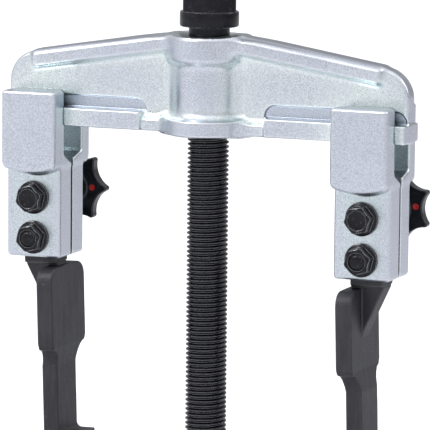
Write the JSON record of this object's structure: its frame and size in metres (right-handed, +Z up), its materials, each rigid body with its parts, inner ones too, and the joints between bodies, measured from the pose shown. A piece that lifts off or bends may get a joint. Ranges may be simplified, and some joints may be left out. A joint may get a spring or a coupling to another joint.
{
  "type": "gear puller",
  "caption": "Two-arm gear puller: I-section crossbeam, forcing screw with hexagon, two knob-clamped sliders and slim hooked legs.",
  "frame": {"origin": "on the spindle axis, level with the underside of the crossbeam's slide rails", "axes": "+X along the crossbeam to the right, +Y to the rear where the clamping knobs are, +Z up the spindle towards its hexagon"},
  "size_m": [0.2273, 0.0659, 0.2663],
  "materials": {
    "zinc_forging": "satin bright zinc plating over forged steel",
    "zinc_slider": "satin bright zinc plating over forged steel, fine grit texture",
    "black_spindle": "black oxide rolled thread, oiled",
    "hardened_tip": "hardened and ground, dark",
    "spring_steel": "bare spring wire",
    "phosphated_leg": "dark phosphate over forged steel, light scuffs",
    "black_fastener": "black oxide, satin",
    "zinc_washer": "zinc plated",
    "knob_plastic": "glossy black thermoset",
    "knob_brass": "turned brass",
    "red_marker": "red plug with a small centre dimple"
  },
  "bodies": {
    "beam": {"crossbeam": "zinc_forging"},
    "tip": {"pressure_tip": "hardened_tip", "tip_snap_ring": "spring_steel"},
    "screw": {"spindle": "black_spindle"},
    "left_slider": {"left_front_clamp": "zinc_slider", "left_clamp_bolt": "black_fastener", "left_leg_bolt": "black_fastener", "left_leg_nut": "black_fastener"},
    "left_leg_arm": {"left_leg": "phosphated_leg"},
    "left_rear_jaw": {"left_rear_clamp": "zinc_slider", "left_knob_washer": "zinc_washer"},
    "left_star_knob": {"left_knob": "knob_plastic", "left_knob_insert": "knob_brass", "left_knob_marker": "red_marker"},
    "right_slider": {"right_front_clamp": "zinc_slider", "right_clamp_bolt": "black_fastener", "right_leg_bolt": "black_fastener", "right_leg_nut": "black_fastener"},
    "right_leg_arm": {"right_leg": "phosphated_leg"},
    "right_rear_jaw": {"right_rear_clamp": "zinc_slider", "right_knob_washer": "zinc_washer"},
    "right_star_knob": {"right_knob": "knob_plastic", "right_knob_insert": "knob_brass", "right_knob_marker": "red_marker"}
  },
  "joints": [
    {"name": "spindle_feed", "type": "slide", "parent": "beam", "child": "tip", "axis": [0, 0, 1], "range_m": [-0.00375, 0.15]},
    {"name": "spindle_turn", "type": "hinge", "parent": "tip", "child": "screw", "pos_m": [0, 0, 0], "axis": [0, 0, 1], "range_deg": [-540, 21600]},
    {"name": "left_slide", "type": "slide", "parent": "beam", "child": "left_slider", "axis": [1, 0, 0], "range_m": [-0.001, 0.046]},
    {"name": "left_leg_swing", "type": "hinge", "parent": "left_slider", "child": "left_leg_arm", "pos_m": [-0.0945, 0, -0.0605], "axis": [0, 1, 0], "range_deg": [0, 3.4]},
    {"name": "left_jaw_open", "type": "slide", "parent": "left_slider", "child": "left_rear_jaw", "axis": [0, 1, 0], "range_m": [0, 0.00125]},
    {"name": "left_knob_turn", "type": "hinge", "parent": "left_rear_jaw", "child": "left_star_knob", "pos_m": [-0.0945, 0.03, -0.0389], "axis": [0, 1, 0], "range_deg": [0, 360]},
    {"name": "right_slide", "type": "slide", "parent": "beam", "child": "right_slider", "axis": [-1, 0, 0], "range_m": [-0.003, 0.044]},
    {"name": "right_leg_swing", "type": "hinge", "parent": "right_slider", "child": "right_leg_arm", "pos_m": [0.0925, 0, -0.0605], "axis": [0, 1, 0], "range_deg": [0, 3.4]},
    {"name": "right_jaw_open", "type": "slide", "parent": "right_slider", "child": "right_rear_jaw", "axis": [0, 1, 0], "range_m": [0, 0.00125]},
    {"name": "right_knob_turn", "type": "hinge", "parent": "right_rear_jaw", "child": "right_star_knob", "pos_m": [0.0925, 0.03, -0.0389], "axis": [0, 1, 0], "range_deg": [0, 360]}
  ],
  "couplings": [
    {"joint": "spindle_feed", "follows": "spindle_turn", "m_per_rad": 0.00039788},
    {"joint": "left_knob_turn", "follows": "left_jaw_open", "rad_per_m": 5026.5},
    {"joint": "right_knob_turn", "follows": "right_jaw_open", "rad_per_m": 5026.5}
  ]
}
